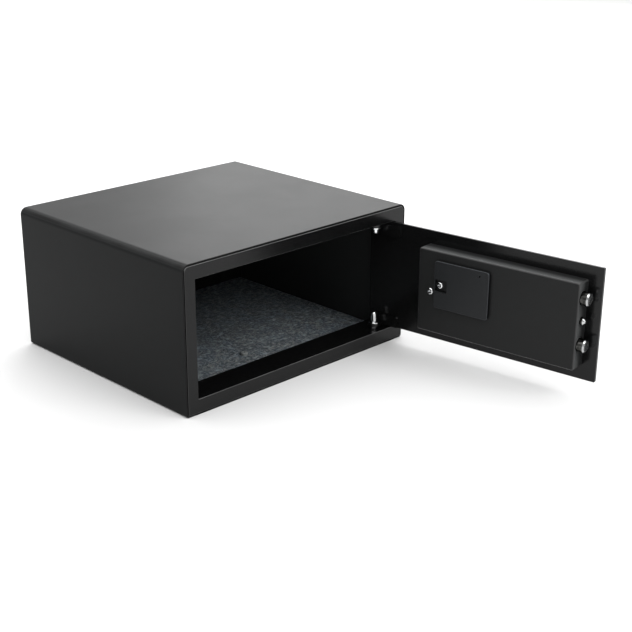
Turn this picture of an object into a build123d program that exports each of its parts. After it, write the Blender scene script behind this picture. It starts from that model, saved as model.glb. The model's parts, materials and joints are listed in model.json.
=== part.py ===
from build123d import *
from math import atan, cos, pi, radians, sin, sqrt, tan
import os

# Front-opening in-room safe for a laptop, drawn with its door standing open.
# Units are millimetres. The origin is the centre of the cabinet's underside, +Z is up, and the
# doorway faces -Y. The door and all that rides on it is drawn closed, then swung open about the
# hinge pins by to_open().

# ---- cabinet ----
WIDTH, DEPTH, HEIGHT = 400.0, 350.0, 200.0
SHEET = 2.0                    # body sheet
TOP_BEND = 9.5                 # outer bend radius along the top's long edges
LOW_BEND = 4.0                 # outer bend radius along the bottom's long edges
LIP = 15.0                     # sides turn in this far under the cabinet
FRAME_T = 2.5                  # front frame plate
FRAME_PROUD = 0.4              # frame's face stands this far in front of the wrap's edge
SEAM_W, SEAM_D = 0.8, 1.7      # groove between the frame and the wrap
EDGE_OUT, EDGE_IN, FRAME_EDGE = 0.8, 0.5, 0.8   # rounding of the wrap's front edges and of the frame's
STILE, RAIL = 19.0, 21.0       # frame seen beside, and above and below, the doorway
RETURN_T, RETURN_DEPTH = 2.0, 45.0
STRIKE_DEPTH = 35.0
MAT_T = 6.0                    # felt floor lining
ANCHOR_R = 4.0                 # anchor bolt holes
FLOOR_ANCHOR_X, FLOOR_ANCHOR_SPACING, WALL_ANCHOR_SPACING = -20.5, 160.0, 230.0
MAT_HOLE_R = 5.7               # felt cut-out over a floor anchor hole
CAP_R, CAP_PROUD = 5.2, 2.6    # cap over each floor anchor hole, and its height over the felt
DOORWAY_R = 1.2                # corners of the doorway
STOP_REACH = 4.5               # door stops stand this far into the doorway

# ---- door ----
DOOR_T = 4.0
DOOR_RECESS = 1.5              # outer face sits this far behind the frame's face
DOOR_GAP, HINGE_GAP = 1.2, 2.0
OPEN_ANGLE = 96.7              # door angle as drawn
PIVOT_IN, PIVOT_BACK = 20.2, 19.0     # hinge axis from the doorway's side and from the front
PIN_R, PIN_CLEARANCE = 4.0, 0.05
BOX_W, BOX_H, BOX_D, BOX_T = 240.0, 118.0, 24.0, 1.5
BOX_MARGIN = 20.0              # door plate left bare beside the lock box
BOX_BEND = 2.6

# ---- bolt work ----
BOLT_R, BOLT_H = 9.0, 12.5     # radius, and height of the axis over the door's inner face
BOLT_MID_Z, BOLT_PITCH = 105.5, 63.0
BOLT_PROUD = 10.0              # tips beyond the lock box when drawn back
THROW = 20.0
PLUNGER_R, PLUNGER_PROUD = 4.8, 6.5
MODULE, TEETH, SHIFT = 1.0, 12, 0.4   # pinion, with its profile shift
PRESSURE, BACKLASH = radians(20), 0.24
GEAR_Z0, GEAR_W = 84.0, 8.0

# ---- key pad ----
PAD_W, PAD_H, PAD_D, PAD_T = 130.0, 80.0, 12.0, 2.0
PAD_X, PAD_Z = -70.0, 113.0
KEY_W, KEY_H, KEY_PITCH_X, KEY_PITCH_Z = 14.0, 11.5, 18.0, 16.5
KEY_PROUD, KEY_GAP = 1.6, 0.4
PAD_HEAD_R = 3.6                             # heads of the key pad's screws

# ---- places worked out from the above ----
HALF_W, HALF_D = WIDTH / 2, DEPTH / 2
WRAP_FRONT = -HALF_D + FRAME_PROUD
SIDE = HALF_W - STILE                        # doorway's half width
LOW, HIGH = RAIL, HEIGHT - RAIL              # doorway's lower and upper edge
PIVOT = (SIDE - PIVOT_IN, -HALF_D + PIVOT_BACK)
OUTER = -HALF_D + DOOR_RECESS                # door's outer face, closed
INNER = OUTER + DOOR_T                       # door's inner face, closed
FREE = -SIDE + DOOR_GAP                      # door's free edge, closed
BOX_X0 = FREE + BOX_MARGIN
BOX_X1 = BOX_X0 + BOX_W
BOX_Z0 = HEIGHT / 2 - BOX_H / 2
BOX_Z1 = BOX_Z0 + BOX_H
BOX_FACE = INNER + BOX_D
BOLT_Z = (BOLT_MID_Z + BOLT_PITCH / 2, BOLT_MID_Z - BOLT_PITCH / 2)
BOLT_Y = INNER + BOLT_H
GUIDE_X0, GUIDE_T = BOX_X0 + BOX_T + 2.0, 3.0
BAR_X0, BAR_T = -128.0, 6.0                  # carriage bar, drawn back
GEAR_X = -90.0
RACK_PITCH_Y = INNER + 6.0
GEAR_R = MODULE * TEETH / 2
GEAR_Y = RACK_PITCH_Y + GEAR_R + SHIFT * MODULE
LID_X0, LID_X1, LID_Z0, LID_Z1, LID_T = -33.0, 51.5, 80.5, 147.0, 5.0
LID_GAP_W, LID_GAP_H = 1.3, 1.3              # shadow gap round the lid's foot
LID_POCKET = 3.5                             # depth of the screw pocket
LID_SCREW = (43.4, 112.7)
BOX_SCREW = (59.4, 100.7)
RESET = (-18.9, 138.9)
LOCK = (-70.0, 60.0)                         # override lock
CABLE = (-70.0, 110.0)                       # cable hole
PAD_FACE = OUTER - PAD_D
SCREW_R, SCREW_HEAD_R, SCREW_HEAD_T = 2.0, 4.6, 2.6
BAY_X0, BAY_X1, CELL_R, CELL_L = -15.0, 39.5, 7.1, 50.0
CELL_PITCH, CELLS = 14.9, 4
CELL_Y = BOX_FACE - BOX_T - 10.0


def slab(x0, x1, y0, y1, z0, z1):
    """Box between two corners."""
    size = Box(x1 - x0, y1 - y0, z1 - z0)
    return Pos((x0 + x1) / 2, (y0 + y1) / 2, (z0 + z1) / 2) * size


def rod_x(r, x0, x1, y, z):
    return Pos((x0 + x1) / 2, y, z) * Rot(0, 90, 0) * Cylinder(r, x1 - x0)


def rod_y(r, y0, y1, x, z):
    return Pos(x, (y0 + y1) / 2, z) * Rot(90, 0, 0) * Cylinder(r, y1 - y0)


def rod_z(r, z0, z1, x, y):
    return Pos(x, y, (z0 + z1) / 2) * Cylinder(r, z1 - z0)


def plate_xz(w, h, x, z, y0, y1, r):
    """Upright plate with rounded corners, centred on x and z."""
    outline = RectangleRounded(w, h, r)
    return Pos(x, y1, z) * Rot(90, 0, 0) * extrude(outline, amount=y1 - y0)


def edges_at(shape, axis, place, tolerance=0.01):
    """Edges that lie whole in the plane at that place along the axis."""
    return shape.edges().filter_by_position(axis, place - tolerance, place + tolerance)


def join(pieces):
    """Separate solids as one group."""
    return Compound(children=[solid for piece in pieces for solid in piece.solids()])


def to_open(shape):
    """Swings a door piece from closed to the open position."""
    px, py = PIVOT
    return Pos(px, py, 0) * Rot(0, 0, OPEN_ANGLE) * Pos(-px, -py, 0) * shape


def save(shape, name):
    export_step(shape, f"parts/{name}.step")


# ---------------------------------------------------------------- cabinet
def section(w, z0, z1, r_top, r_low):
    """Upright rectangle in the XZ plane with its own radii at the top and at the bottom."""
    face = Pos(0, (z0 + z1) / 2) * Rectangle(w, z1 - z0)
    corners = face.vertices().group_by(Axis.Y)
    face = fillet(corners[-1], r_top)
    return fillet(face.vertices().group_by(Axis.Y)[0], r_low)


def along_y(face, y0, y1):
    """Extrudes a face drawn as X across and Y up, so that it stands between y0 and y1."""
    return Pos(0, y1, 0) * Rot(90, 0, 0) * extrude(face, amount=y1 - y0)


def inner_section(grow=0.0):
    """Outline of the space inside the wrap, grown by that much all round."""
    w, low, high = WIDTH - 2 * SHEET + 2 * grow, SHEET - grow, HEIGHT - SHEET + grow
    return section(w, low, high, TOP_BEND - SHEET + grow, LOW_BEND - SHEET + grow)


def body_wrap():
    """One folded sheet, open underneath between its lips, with its front edges eased."""
    wrap = along_y(section(WIDTH, 0, HEIGHT, TOP_BEND, LOW_BEND), WRAP_FRONT, HALF_D)
    wrap = fillet(edges_at(wrap, Axis.Y, WRAP_FRONT), EDGE_OUT)
    wrap -= along_y(inner_section(), WRAP_FRONT - 1, HALF_D + 1)
    mouth = extrude(inner_section(EDGE_IN), amount=-EDGE_IN, taper=45)
    wrap -= Pos(0, WRAP_FRONT, 0) * Rot(90, 0, 0) * mouth
    return wrap - slab(-HALF_W + LIP, HALF_W - LIP, WRAP_FRONT - 1, HALF_D + 1, -1, SHEET + 1)


def floor_anchor(side):
    return FLOOR_ANCHOR_X, side * FLOOR_ANCHOR_SPACING / 2


def bottom_plate():
    plate = slab(-HALF_W + LIP, HALF_W - LIP, WRAP_FRONT, HALF_D, 0, SHEET)
    for side in (-1, 1):
        plate -= rod_z(ANCHOR_R, -1, SHEET + 1, *floor_anchor(side))
    return plate


def back_panel():
    panel = along_y(inner_section(), HALF_D - SHEET, HALF_D)
    for side in (-1, 1):
        hole = rod_y(ANCHOR_R, HALF_D - SHEET - 1, HALF_D + 1, side * WALL_ANCHOR_SPACING / 2, HEIGHT / 2)
        panel -= hole
    return panel


def at_doorway(place):
    return abs(place.X) < SIDE + 1 and LOW - 1 < place.Z < HIGH + 1


def front_frame():
    doorway = Pos(0, HEIGHT / 2) * RectangleRounded(2 * SIDE, HIGH - LOW, DOORWAY_R)
    frame = along_y(inner_section(-SEAM_W) - doorway, -HALF_D, -HALF_D + SEAM_D)
    frame += along_y(inner_section() - doorway, -HALF_D + SEAM_D, -HALF_D + FRAME_T)
    frame = fillet([e for e in edges_at(frame, Axis.Y, -HALF_D) if at_doorway(e.center())], 0.6)
    return fillet([e for e in edges_at(frame, Axis.Y, -HALF_D) if not at_doorway(e.center())], FRAME_EDGE)


def pin_hole(z0, z1, r):
    return rod_z(r, z0, z1, *PIVOT)


def sill_return():
    """Flange back from the doorway's lower edge, turned down to the floor."""
    back = -HALF_D + RETURN_DEPTH
    front = -HALF_D + FRAME_T
    flange = slab(-SIDE, SIDE, front, back, LOW - RETURN_T, LOW)
    flange += slab(-SIDE, SIDE, back - RETURN_T, back, SHEET, LOW)
    flange = fillet(edges_at(flange, Axis.Y, back).filter_by_position(Axis.Z, LOW - 0.1, LOW + 0.1), 1.5)
    return flange - pin_hole(0, LOW + 1, PIN_R)


def head_return():
    """Flange back from the doorway's upper edge, with a short upturned edge."""
    back = -HALF_D + RETURN_DEPTH
    front = -HALF_D + FRAME_T
    flange = slab(-SIDE, SIDE, front, back, HIGH, HIGH + RETURN_T)
    flange += slab(-SIDE, SIDE, back - RETURN_T, back, HIGH, HIGH + 12)
    flange = fillet(edges_at(flange, Axis.Y, back).filter_by_position(Axis.Z, HIGH - 0.1, HIGH + 0.1), 1.5)
    return flange - pin_hole(HIGH - 1, HEIGHT, PIN_R)


def strike_plate():
    """Flange behind the doorway's free side, with the bolt holes and two door stops."""
    front = -HALF_D + FRAME_T
    plate = slab(-SIDE - RETURN_T, -SIDE, front, -HALF_D + STRIKE_DEPTH, LOW, HIGH)
    for z in BOLT_Z:
        plate -= rod_x(BOLT_R + 1, -SIDE - RETURN_T - 1, -SIDE + 1, BOLT_Y, z)
    for z in (LOW + 8, HIGH - 28):
        plate += slab(-SIDE - RETURN_T, -SIDE + STOP_REACH, INNER + 0.4, INNER + 2.4, z, z + 20)
    return plate


def hinge_pin(up):
    """Chromed pin through a flange; up is 1 for the lower pin and -1 for the upper one."""
    seat = LOW if up > 0 else HIGH
    under = seat - up * RETURN_T
    tip = seat + up * (23.0 if up > 0 else 19.0)
    shaft = rod_z(PIN_R, min(under, tip), max(under, tip), *PIVOT)
    shaft = fillet(shaft.edges().group_by(Axis.Z)[-1 if up > 0 else 0], PIN_R - 0.6)
    head = rod_z(PIN_R + 2.2, min(under, under - up * 2.2), max(under, under - up * 2.2), *PIVOT)
    return shaft + head


def ring(z0, z1, r_out, r_in, round_off=0.0):
    """Washer or collar on the hinge axis."""
    part = rod_z(r_out, z0, z1, *PIVOT) - rod_z(r_in, z0 - 1, z1 + 1, *PIVOT)
    if round_off:
        part = fillet(part.edges().filter_by(GeomType.CIRCLE).sort_by(SortBy.RADIUS)[-2:], round_off)
    return part


WASHER_T, SPACER_T, TAB_T, TAB_GAP, COLLAR_T, COLLAR_R = 1.5, 5.5, 3.0, 0.3, 2.6, 7.2
TAB_LOW = LOW + WASHER_T + TAB_GAP           # lower tab's underside
TAB_HIGH = HIGH - SPACER_T - TAB_GAP         # upper tab's top


def hinge_washers():
    """Washer under the lower tab and a thicker spacer over the upper one."""
    low = ring(LOW, LOW + WASHER_T, 6.5, PIN_R)
    high = ring(HIGH - SPACER_T, HIGH, 6.5, PIN_R)
    return join([low, high])


def pin_collars():
    """Retaining collars that keep the tabs on their pins."""
    z_low = TAB_LOW + TAB_T + TAB_GAP
    z_high = TAB_HIGH - TAB_T - TAB_GAP
    low = ring(z_low, z_low + COLLAR_T, COLLAR_R, PIN_R, 0.7)
    high = ring(z_high - COLLAR_T, z_high, COLLAR_R, PIN_R, 0.7)
    return join([low, high])


def carpet_mat():
    """Felt lining laid on the floor behind the sill, cut out over the floor anchors."""
    front = -HALF_D + RETURN_DEPTH + 1.0
    edge = HALF_W - LOW_BEND
    mat = slab(-edge, edge, front, HALF_D - SHEET - 1.0, SHEET, SHEET + MAT_T)
    for side in (-1, 1):
        mat -= rod_z(MAT_HOLE_R, 0, SHEET + MAT_T + 1, *floor_anchor(side))
    return mat


def anchor_caps():
    """Hollow caps that stand over the floor anchor holes, each with a dimple on top."""
    top = SHEET + MAT_T + CAP_PROUD
    caps = []
    for side in (-1, 1):
        place = floor_anchor(side)
        cap = rod_z(CAP_R, SHEET, top, *place)
        cap = fillet(cap.edges().group_by(Axis.Z)[-1], 1.8)
        cap -= rod_z(CAP_R - 0.8, SHEET - 1, top - 3.0, *place)
        caps.append(cap - rod_z(1.8, top - 1.6, top + 1, *place))
    return join(caps)


# ---------------------------------------------------------------- door shell
def door_plate():
    hinge_edge = SIDE - HINGE_GAP
    w, h = hinge_edge - FREE, HIGH - LOW - 2 * DOOR_GAP
    plate = plate_xz(w, h, (hinge_edge + FREE) / 2, HEIGHT / 2, OUTER, INNER, 2.0)
    plate = fillet(edges_at(plate, Axis.Y, INNER), 0.5)
    plate = fillet(edges_at(plate, Axis.Y, OUTER), 0.5)
    plate -= rod_y(9.5, OUTER - 1, INNER + 1, *LOCK)
    plate -= rod_y(8.0, OUTER - 1, INNER + 1, *CABLE)
    for x, z in pad_screw_places():
        plate -= rod_y(SCREW_R + 0.2, OUTER - 1, INNER + 1, x, z)
    return plate


def hinge_tab(z0, leg_up):
    """Angle bracket: its foot is welded to the door and its round end turns on the pin."""
    px, py = PIVOT
    r_end, foot_l, foot_t, foot_h = 9.0, 24.0, 3.0, 16.0
    arm = slab(px - r_end, px + r_end, INNER, py, z0, z0 + TAB_T)
    arm += rod_z(r_end, z0, z0 + TAB_T, px, py)
    low = z0 if leg_up else z0 + TAB_T - foot_h
    foot = slab(px - r_end - foot_l, px + r_end, INNER, INNER + foot_t, low, low + foot_h)
    free_corners = foot.edges().filter_by(Axis.Y).group_by(Axis.Z)[-1 if leg_up else 0]
    foot = fillet(free_corners, 4.0)
    return arm + foot - pin_hole(z0 - 1, z0 + TAB_T + 1, PIN_R + PIN_CLEARANCE)


def rounded_pan(x0, x1, y0, y1, z0, z1, corner, front):
    """Block whose upright corners and whole face at y1 are rounded."""
    block = slab(x0, x1, y0, y1, z0, z1)
    block = fillet(block.edges().filter_by(Axis.Y), corner)
    return fillet(edges_at(block, Axis.Y, y1), front)


def lock_box():
    """Pressed cover over the lockwork, open towards the door."""
    t = BOX_T
    outside = rounded_pan(BOX_X0, BOX_X1, INNER, BOX_FACE, BOX_Z0, BOX_Z1, 3.2, BOX_BEND)
    inside = rounded_pan(
        BOX_X0 + t, BOX_X1 - t, INNER - 1, BOX_FACE - t, BOX_Z0 + t, BOX_Z1 - t, 3.2 - t, BOX_BEND - t
    )
    box = outside - inside
    for z in BOLT_Z:
        box -= rod_x(BOLT_R + 0.8, BOX_X0 - 1, BOX_X0 + 4, BOLT_Y, z)
    box -= rod_x(PLUNGER_R + 0.7, BOX_X0 - 1, BOX_X0 + 4, BOLT_Y, BOLT_MID_Z + 1)
    box -= slab(BAY_X0 - 9, BAY_X1 + 9, BOX_FACE - 2, BOX_FACE + 1, LID_Z0 + 4, LID_Z1 - 4)
    box -= rod_y(SCREW_R + 0.2, BOX_FACE - 2, BOX_FACE + 1, *BOX_SCREW)
    return box


def screw(x, z, head_back, length, r=SCREW_R, head_r=SCREW_HEAD_R, head_t=SCREW_HEAD_T, out=1):
    """Pan-head screw along Y with a cross recess; out is the side that the head faces."""
    top = head_back + out * head_t
    head = rod_y(head_r, min(head_back, top), max(head_back, top), x, z)
    crown = edges_at(head, Axis.Y, top)
    head = fillet(crown, head_t * 0.6)
    end = head_back - out * length
    shank = rod_y(r, min(head_back, end), max(head_back, end), x, z)
    body = head + shank
    deep = top - out * head_t * 0.7
    arm, groove = 1.2 * head_r, 1.1
    for w, h in ((arm, groove), (groove, arm)):
        y0, y1 = sorted((deep, top + out))
        body -= slab(x - w / 2, x + w / 2, y0, y1, z - h / 2, z + h / 2)
    return body


def box_screw():
    return screw(*BOX_SCREW, BOX_FACE, BOX_D - 3.0)


def battery_cover():
    """Lid over the cells, with a sunk pocket for its screw and the reset pin-hole."""
    w, h = LID_X1 - LID_X0, LID_Z1 - LID_Z0
    mid_x, mid_z = (LID_X0 + LID_X1) / 2, (LID_Z0 + LID_Z1) / 2
    top = BOX_FACE + LID_T
    lid = plate_xz(w, h, mid_x, mid_z, BOX_FACE + LID_GAP_H, top, 4.5)
    lid = fillet(edges_at(lid, Axis.Y, top), 0.8)
    foot_w, foot_h = w - 2 * LID_GAP_W, h - 2 * LID_GAP_W
    lid += plate_xz(foot_w, foot_h, mid_x, mid_z, BOX_FACE, BOX_FACE + LID_GAP_H, 4.5 - LID_GAP_W)
    x, z = LID_SCREW
    lid -= slab(x - 12.2, x + 6.3, top - LID_POCKET, top + 1, z - 8.5, z + 8.5)
    lid -= rod_y(SCREW_R + 0.3, BOX_FACE - 1, top, x, z)
    lid -= rod_y(1.3, BOX_FACE - 1, top + 1, *RESET)
    return lid


def battery_screw():
    return screw(*LID_SCREW, BOX_FACE + LID_T - LID_POCKET, 12.0)


# ---------------------------------------------------------------- electronics
def cell_z(i):
    return (LID_Z0 + LID_Z1) / 2 + (i - (CELLS - 1) / 2) * CELL_PITCH


def battery_tray():
    z0, z1 = cell_z(0) - CELL_PITCH / 2 - 1.2, cell_z(CELLS - 1) + CELL_PITCH / 2 + 1.2
    top, low = BOX_FACE - BOX_T, CELL_Y - CELL_R - 1.4
    tray = slab(BAY_X0 - 8.5, BAY_X1 + 8.5, low, top, z0, z1)
    tray -= slab(BAY_X0, BAY_X1, CELL_Y, top + 1, z0 + 1.2, z1 - 1.2)
    for i in range(CELLS):
        tray -= rod_x(CELL_R + 0.3, BAY_X0, BAY_X1, CELL_Y, cell_z(i))
    tray -= rod_y(SCREW_R, top - 10, top + 1, *LID_SCREW)
    return tray - rod_y(3.4, low - 1, top + 1, *RESET)


def batteries():
    """Four cells side by side, each with its nub, turned alternately."""
    mid = (BAY_X0 + BAY_X1) / 2
    cells = []
    for i in range(CELLS):
        turn = 1 if i % 2 else -1
        can = rod_x(CELL_R, mid - CELL_L / 2 + 0.6, mid + CELL_L / 2 - 0.6, CELL_Y, cell_z(i))
        can = fillet(can.edges().filter_by(GeomType.CIRCLE), 0.5)
        end = mid + turn * (CELL_L / 2 - 0.6)
        nub = rod_x(2.6, min(end, end + turn), max(end, end + turn), CELL_Y, cell_z(i))
        cells.append(can + nub)
    return join(cells)


def battery_springs():
    """Contact plates with a coned spring at each cell's flat end."""
    mid = (BAY_X0 + BAY_X1) / 2
    parts = []
    for i in range(CELLS):
        turn = 1 if i % 2 else -1
        flat = mid - turn * (CELL_L / 2 - 0.6)
        wall = BAY_X0 if turn > 0 else BAY_X1
        cone = Cone(4.5, 2.5, abs(wall - flat) - 0.4)
        parts.append(Pos((wall + flat) / 2, CELL_Y, cell_z(i)) * Rot(0, 90 * turn, 0) * cone)
    return join(parts)


BOARD_X0, BOARD_X1, BOARD_Z0, BOARD_Z1, BOARD_T = -54.0, 30.0, 48.0, 150.0, 1.6
BOARD_Y = INNER + 1.4


def control_board():
    """Circuit board with its chips, connector, buzzer and the reset switch's body."""
    top = BOARD_Y + BOARD_T
    board = slab(BOARD_X0, BOARD_X1, BOARD_Y, top, BOARD_Z0, BOARD_Z1)
    for x, z in pad_screw_places():
        board -= rod_y(PAD_HEAD_R + 1.0, INNER, top + 1, x, z)
    for x in (BOARD_X0 + 6, BOARD_X1 - 6):
        for z in (BOARD_Z0 + 6, BOARD_Z1 - 6):
            board += rod_y(3.0, INNER, BOARD_Y, x, z)
    chips = ((-45, 62, 14, 10, 2.0), (-20, 64, 9, 9, 1.6), (8, 60, 20, 6, 8.0), (-50, 90, 6, 12, 3.0))
    for x, z, w, h, t in chips:
        board += slab(x - w / 2, x + w / 2, top, top + t, z - h / 2, z + h / 2)
    board += slab(BOARD_X0 + 1, BOARD_X0 + 7, top, top + 5, CABLE[1] - 8, CABLE[1] + 8)
    board += rod_y(5.5, top, top + 8, BOARD_X0 + 7, 134)
    x, z = RESET
    switch = slab(x - 2.2, x + 2.2, top, top + 1.6, z - 2.2, z + 2.2)
    return board + switch - rod_y(1.5, top + 0.4, top + 2, x, z)


def reset_button():
    top = BOARD_Y + BOARD_T
    button = rod_y(1.35, top + 1.4, top + 4.2, *RESET)
    return fillet(button.edges().group_by(Axis.Y)[-1], 0.4)


def grommet():
    x, z = CABLE
    body = rod_y(7.9, OUTER, INNER, x, z) + rod_y(9.5, INNER, INNER + 1.2, x, z)
    return body - slab(x - 0.6, x + 0.6, OUTER - 1, INNER + 2, z - 6.4, z + 6.4)


def ribbon_cable():
    """Flat cable from the key pad through the door to the control board's connector."""
    x, z = CABLE
    turn_y = BOARD_Y + BOARD_T + 3.0
    run = slab(x - 0.3, x + 0.3, OUTER - 5.0, turn_y, z - 6, z + 6)
    across = slab(x - 0.3, BOARD_X0 + 1, turn_y - 0.6, turn_y, z - 6, z + 6)
    bent = run + across
    corner = bent.edges().filter_by(Axis.Z).sort_by_distance((x - 0.3, turn_y, z))[0]
    return fillet(corner, 0.5)


# ---------------------------------------------------------------- bolt work
def bolt_guide():
    """Bracket inside the free side of the lock box that the bolts slide through."""
    guide = slab(GUIDE_X0, GUIDE_X0 + GUIDE_T, INNER, BOX_FACE - BOX_T - 0.5, 58, 153)
    guide += slab(GUIDE_X0, GUIDE_X0 + 20, INNER, INNER + 2, 58, 153)
    for z in BOLT_Z:
        guide -= rod_x(BOLT_R + 0.08, GUIDE_X0 - 1, GUIDE_X0 + GUIDE_T + 1, BOLT_Y, z)
    hole = rod_x(PLUNGER_R + 0.06, GUIDE_X0 - 1, GUIDE_X0 + GUIDE_T + 1, BOLT_Y, BOLT_MID_Z + 1)
    return guide - hole


def locking_bolt(z):
    tip = BOX_X0 - BOLT_PROUD
    bolt = rod_x(BOLT_R, tip, BAR_X0, BOLT_Y, z)
    return chamfer(bolt.edges().group_by(Axis.X)[0], 1.6)


def bolt_screws():
    """One screw from behind the carriage bar into each bolt; only the heads are drawn."""
    back = BAR_X0 + BAR_T
    return join([rod_x(4.0, back, back + 2.5, BOLT_Y, z) for z in BOLT_Z])


SLEEVE_R, SLEEVE_X1 = 6.6, -118.0
RACK_TEETH_LEFT = 4            # rack teeth on the bolts' side of the pinion, drawn back


def rack_tooth(x):
    """Outline of one rack tooth in the XY plane, centred on x at the pitch line."""
    half = pi * MODULE / 4 - BACKLASH / 4
    top, root = 1.0 * MODULE, 1.15 * MODULE
    slope = tan(PRESSURE)
    points = [
        (x - half - root * slope, RACK_PITCH_Y - root),
        (x - half + top * slope, RACK_PITCH_Y + top),
        (x + half - top * slope, RACK_PITCH_Y + top),
        (x + half + root * slope, RACK_PITCH_Y - root),
    ]
    return make_face(Polyline(*points, close=True))


def bolt_carriage():
    """Bar that joins the two bolts, with the rack that the pinion drives."""
    z_low, z_high = BOLT_Z[1] - 12, BOLT_Z[0] + 10
    y0, y1 = INNER + 3.2, INNER + 21.0
    bar = slab(BAR_X0, BAR_X0 + BAR_T, y0, y1, z_low, z_high)
    bar -= rod_x(SLEEVE_R + 0.4, BAR_X0 - 1, BAR_X0 + BAR_T + 1, BOLT_Y, BOLT_MID_Z + 1)
    rack_end = GEAR_X + THROW + 8 * MODULE
    base_top = RACK_PITCH_Y - 1.15 * MODULE
    strip = slab(BAR_X0 + BAR_T, rack_end, y0, base_top, GEAR_Z0, GEAR_Z0 + GEAR_W)
    pitch = pi * MODULE
    for k in range(-RACK_TEETH_LEFT, int((rack_end - GEAR_X) / pitch)):
        tooth = extrude(rack_tooth(GEAR_X + (k + 0.5) * pitch), amount=GEAR_W)
        strip += Pos(0, 0, GEAR_Z0) * tooth
    return bar + strip


def involute(radius_base, radius, start):
    """Point of an involute at that radius, turned by the angle start."""
    a = sqrt(max((radius / radius_base) ** 2 - 1, 0))
    angle = start + a - atan(a)
    return radius * cos(angle), radius * sin(angle)


def gear_face():
    """Twelve involute teeth; one tooth points straight at the rack's tooth gap."""
    base = GEAR_R * cos(PRESSURE)
    root = GEAR_R - (1.15 - SHIFT) * MODULE
    tip = GEAR_R + (1.0 + SHIFT) * MODULE - 0.2
    thick = MODULE * (pi / 2 + 2 * SHIFT * tan(PRESSURE)) - BACKLASH / 2
    inv_at_pitch = tan(PRESSURE) - PRESSURE
    half_base = thick / (2 * GEAR_R) + inv_at_pitch
    steps = 6
    face = Circle(root)
    for k in range(TEETH):
        middle = -pi / 2 + 2 * pi * k / TEETH
        radii = [base + (tip - base) * i / steps for i in range(steps + 1)]
        one = [involute(base, r, 0.0) for r in radii]
        left, right = [], []
        for x, y in one:
            for side, flank in ((1, right), (-1, left)):
                turn = middle - side * half_base
                yy = side * y
                flank.append((x * cos(turn) - yy * sin(turn), x * sin(turn) + yy * cos(turn)))
        inner = root * 0.9
        foot_r = (inner * cos(middle - half_base), inner * sin(middle - half_base))
        foot_l = (inner * cos(middle + half_base), inner * sin(middle + half_base))
        face += make_face(Polyline(foot_r, *right, *reversed(left), foot_l, close=True))
    return face


SHAFT_R = 1.5
MOTOR_Z0 = GEAR_Z0 + GEAR_W + 1.0


def drive_pinion():
    """Motor pinion with its output shaft."""
    gear = Pos(GEAR_X, GEAR_Y, GEAR_Z0) * extrude(gear_face(), amount=GEAR_W)
    return gear + rod_z(SHAFT_R, GEAR_Z0 - 1.0, MOTOR_Z0 + 6, GEAR_X, GEAR_Y)


def gear_motor():
    """Small gear motor: gearbox block and round motor can."""
    box = slab(GEAR_X - 6, GEAR_X + 6, GEAR_Y - 5, GEAR_Y + 5, MOTOR_Z0, MOTOR_Z0 + 9)
    can = rod_z(6.0, MOTOR_Z0 + 9, MOTOR_Z0 + 27, GEAR_X, GEAR_Y)
    can &= slab(GEAR_X - 6, GEAR_X + 6, GEAR_Y - 5, GEAR_Y + 5, MOTOR_Z0 + 9, MOTOR_Z0 + 27)
    boss = rod_z(2.5, MOTOR_Z0 + 27, MOTOR_Z0 + 28.5, GEAR_X, GEAR_Y)
    bore = rod_z(SHAFT_R + 0.05, MOTOR_Z0 - 1, MOTOR_Z0 + 7, GEAR_X, GEAR_Y)
    return box + can + boss - bore


def motor_bracket():
    """Saddle that holds the gear motor off the door."""
    z0, z1 = MOTOR_Z0 + 0.5, MOTOR_Z0 + 22
    low = GEAR_Y - 5
    saddle = slab(GEAR_X - 8, GEAR_X + 8, INNER, low, z0, z1)
    for side in (-1, 1):
        x0, x1 = sorted((GEAR_X + side * 6, GEAR_X + side * 8))
        saddle += slab(x0, x1, low, GEAR_Y + 4, z0, z1)
    return saddle


def plunger_sleeve():
    """Sleeve on the guide bracket that houses the centre plunger and its spring."""
    z = BOLT_MID_Z + 1
    x0 = GUIDE_X0 + GUIDE_T
    sleeve = rod_x(SLEEVE_R, x0, SLEEVE_X1, BOLT_Y, z)
    return sleeve - rod_x(PLUNGER_R + 0.06, x0 - 1, SLEEVE_X1 - 2, BOLT_Y, z)


PLUNGER_END = -138.0


def spring_plunger():
    """Centre pin with a coned tip."""
    tip = BOX_X0 - PLUNGER_PROUD
    pin = rod_x(PLUNGER_R, tip, PLUNGER_END, BOLT_Y, BOLT_MID_Z + 1)
    return chamfer(pin.edges().group_by(Axis.X)[0], 3.0, 3.4)


def plunger_spring():
    """Helical spring behind the plunger, inside the sleeve."""
    wire, coil_r = 0.4, 3.9
    x0, x1 = PLUNGER_END + wire + 0.05, SLEEVE_X1 - 2 - wire - 0.05
    path = Helix(pitch=(x1 - x0) / 6, height=x1 - x0, radius=coil_r)
    start = Plane(origin=path @ 0, z_dir=path % 0)
    coil = sweep(start * Circle(wire), path=path, is_frenet=True)
    return Pos(x0, BOLT_Y, BOLT_MID_Z + 1) * Rot(0, 90, 0) * coil


# ---------------------------------------------------------------- key override
PLUG_R, CYL_R = 5.5, 9.0
CYL_BACK = INNER + 12.0


def override_cylinder():
    """Lock cylinder through the door, with its flange on the outer face."""
    body = rod_y(CYL_R, OUTER, CYL_BACK, *LOCK)
    flange = rod_y(11.0, OUTER - 2.5, OUTER, *LOCK)
    flange = fillet(edges_at(flange, Axis.Y, OUTER - 2.5), 1.0)
    return body + flange - rod_y(PLUG_R + 0.05, OUTER - 3, CYL_BACK + 1, *LOCK)


def cylinder_nut():
    """Hexagon nut that clamps the cylinder to the door."""
    x, z = LOCK
    nut = Pos(x, INNER + 4, z) * Rot(90, 0, 0) * extrude(RegularPolygon(13.5, 6), amount=4)
    return nut - rod_y(CYL_R, INNER - 1, INNER + 5, x, z)


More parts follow.
